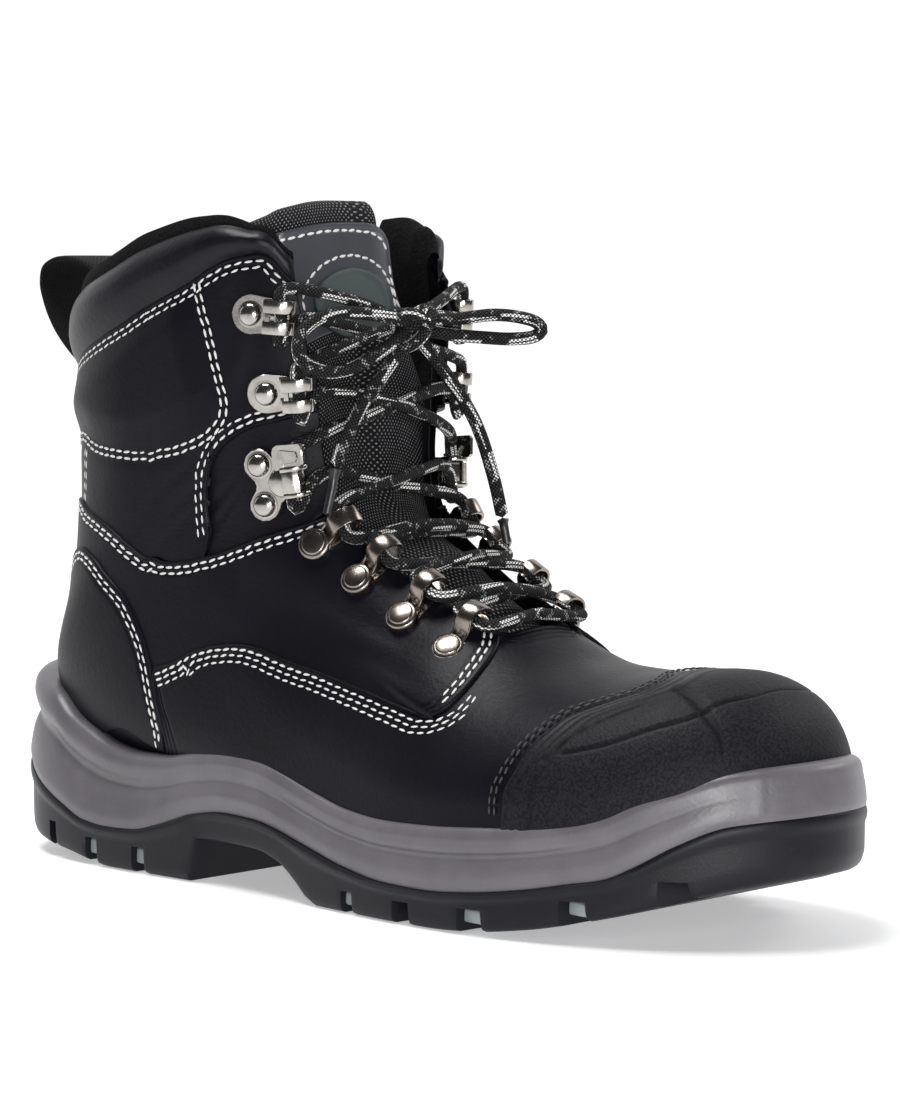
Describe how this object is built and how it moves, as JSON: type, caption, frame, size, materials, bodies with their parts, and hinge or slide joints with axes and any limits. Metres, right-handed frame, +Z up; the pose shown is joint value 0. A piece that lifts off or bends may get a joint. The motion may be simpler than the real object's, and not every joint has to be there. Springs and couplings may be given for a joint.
{
  "type": "zip safety boot",
  "caption": "Lace-up ankle safety boot for the right foot, with padded collar, toe bumper cap, cleated two-part sole, hooks, bow-tied laces and a side zip.",
  "frame": {"origin": "on the ground, under the middle of the boot's box, the laces' loose lengths left out", "axes": "+X to the toe, +Y to the inner (big toe) side, +Z up"},
  "size_m": [0.316, 0.1114, 0.204],
  "materials": {
    "leather": "smooth black grain with a satin polish",
    "bumper": "black, pebbled, satin",
    "midsole_foam": "warm grey moulded foam, fine matt skin",
    "outsole_rubber": "black moulded rubber, satin",
    "insole_cloth": "dark felt",
    "webbing": "black woven nylon",
    "badge": "soft matt grey green, bare",
    "nickel": "bright nickel plate",
    "gunmetal": "dark nickel plate",
    "lace": "round black braid with pale flecks",
    "lace_tip": "black film tip"
  },
  "bodies": {
    "boot": {"outsole": "outsole_rubber", "midsole": "midsole_foam", "insole": "insole_cloth", "upper": "leather", "heel_counter": "leather", "toe_cap": "bumper", "vamp": "leather", "tongue": "webbing", "tongue_patch": "leather", "tongue_badge": "badge", "collar": "leather", "collar_inner_front": "leather", "pull_loop": "webbing", "d_ring_outer_1": "gunmetal", "d_ring_outer_2": "gunmetal", "d_ring_outer_3": "gunmetal", "d_ring_outer_4": "gunmetal", "lock_hook_outer": "nickel", "speed_hook_outer_1": "nickel", "speed_hook_outer_2": "nickel", "d_ring_inner_1": "gunmetal", "d_ring_inner_2": "gunmetal", "d_ring_inner_3": "gunmetal", "d_ring_inner_4": "gunmetal", "lock_hook_inner": "nickel", "speed_hook_inner_1": "nickel", "speed_hook_inner_2": "nickel", "lace_knot": "lace", "lace_crossings": "lace", "lace_loop_outer": "lace", "lace_loop_inner": "lace", "lace_end_outer": "lace", "lace_end_inner": "lace", "lace_tip_outer": "lace_tip", "lace_tip_inner": "lace_tip", "zip_tape": "webbing", "zip_teeth": "nickel", "zip_slider": "nickel"},
    "zip_tab": {"zip_pull": "nickel"}
  },
  "joints": [
    {"name": "zip_tab_hinge", "type": "hinge", "parent": "boot", "child": "zip_tab", "pos_m": [-0.0646, 0.05366, 0.17674], "axis": [1, 0, 0], "range_deg": [0, 150]}
  ]
}
